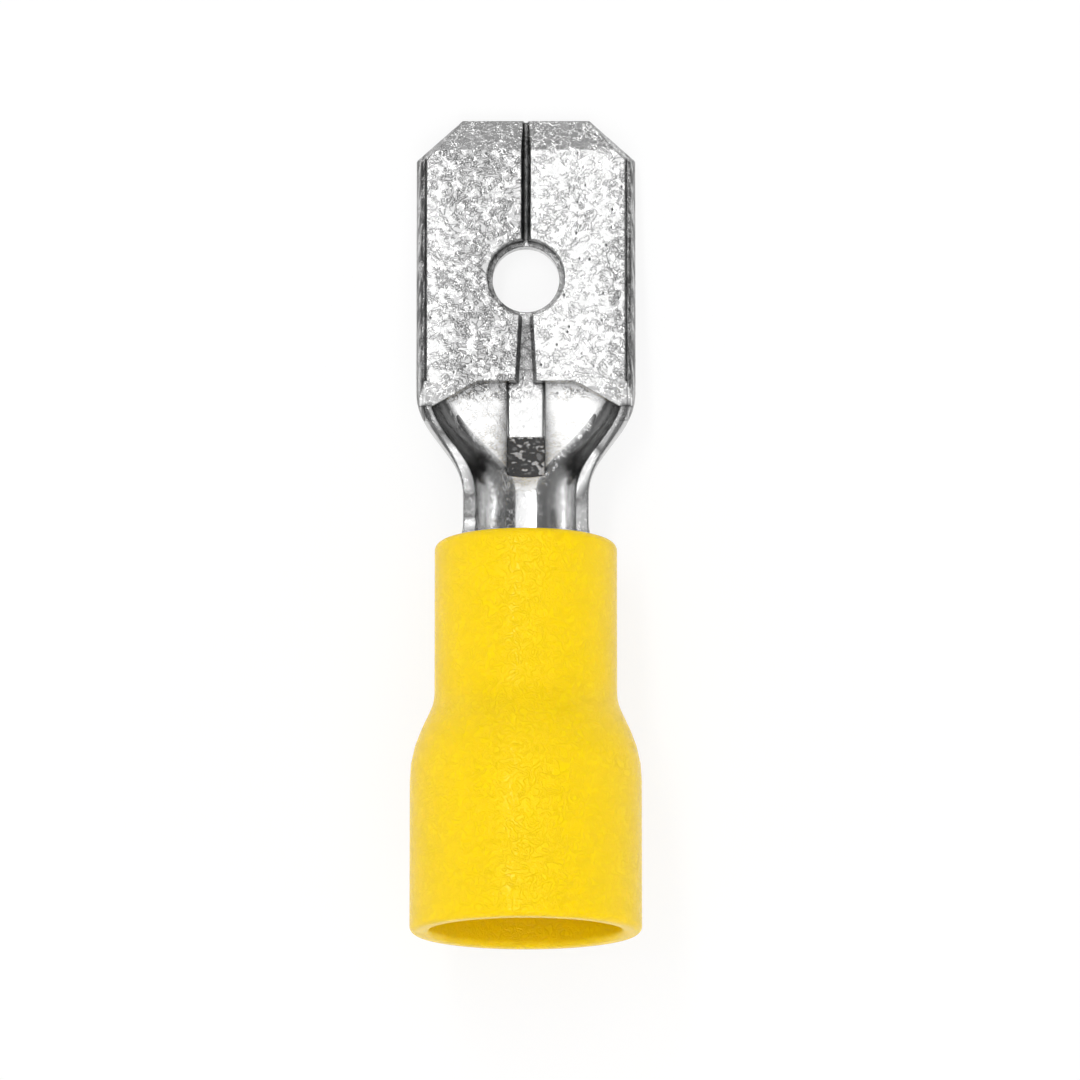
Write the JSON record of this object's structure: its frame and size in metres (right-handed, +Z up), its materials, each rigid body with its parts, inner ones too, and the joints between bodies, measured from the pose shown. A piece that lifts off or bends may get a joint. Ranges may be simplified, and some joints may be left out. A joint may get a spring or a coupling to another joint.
{
  "type": "insulated male tab crimp terminal",
  "caption": "Push-on tab crimp terminal: flat folded blade with a round hole, open funnel neck and rolled wire barrel inside a flared insulating sleeve.",
  "frame": {"origin": "centre of the bounding box on the surface that the terminal lies on", "axes": "+Y towards the tip of the tab, +Z up with the seam side of the tab facing up; the terminal's own axis dips 10.8 degrees towards the tip"},
  "size_m": [0.0068, 0.0242, 0.008],
  "materials": {
    "tinned_brass": "bright tin plating over rolled brass sheet, coined flat on the blade",
    "yellow_pvc": "moulded vinyl with a soft satin surface"
  },
  "bodies": {
    "root": {"tab_terminal": "tinned_brass", "insulating_sleeve": "yellow_pvc"}
  },
  "joints": []
}
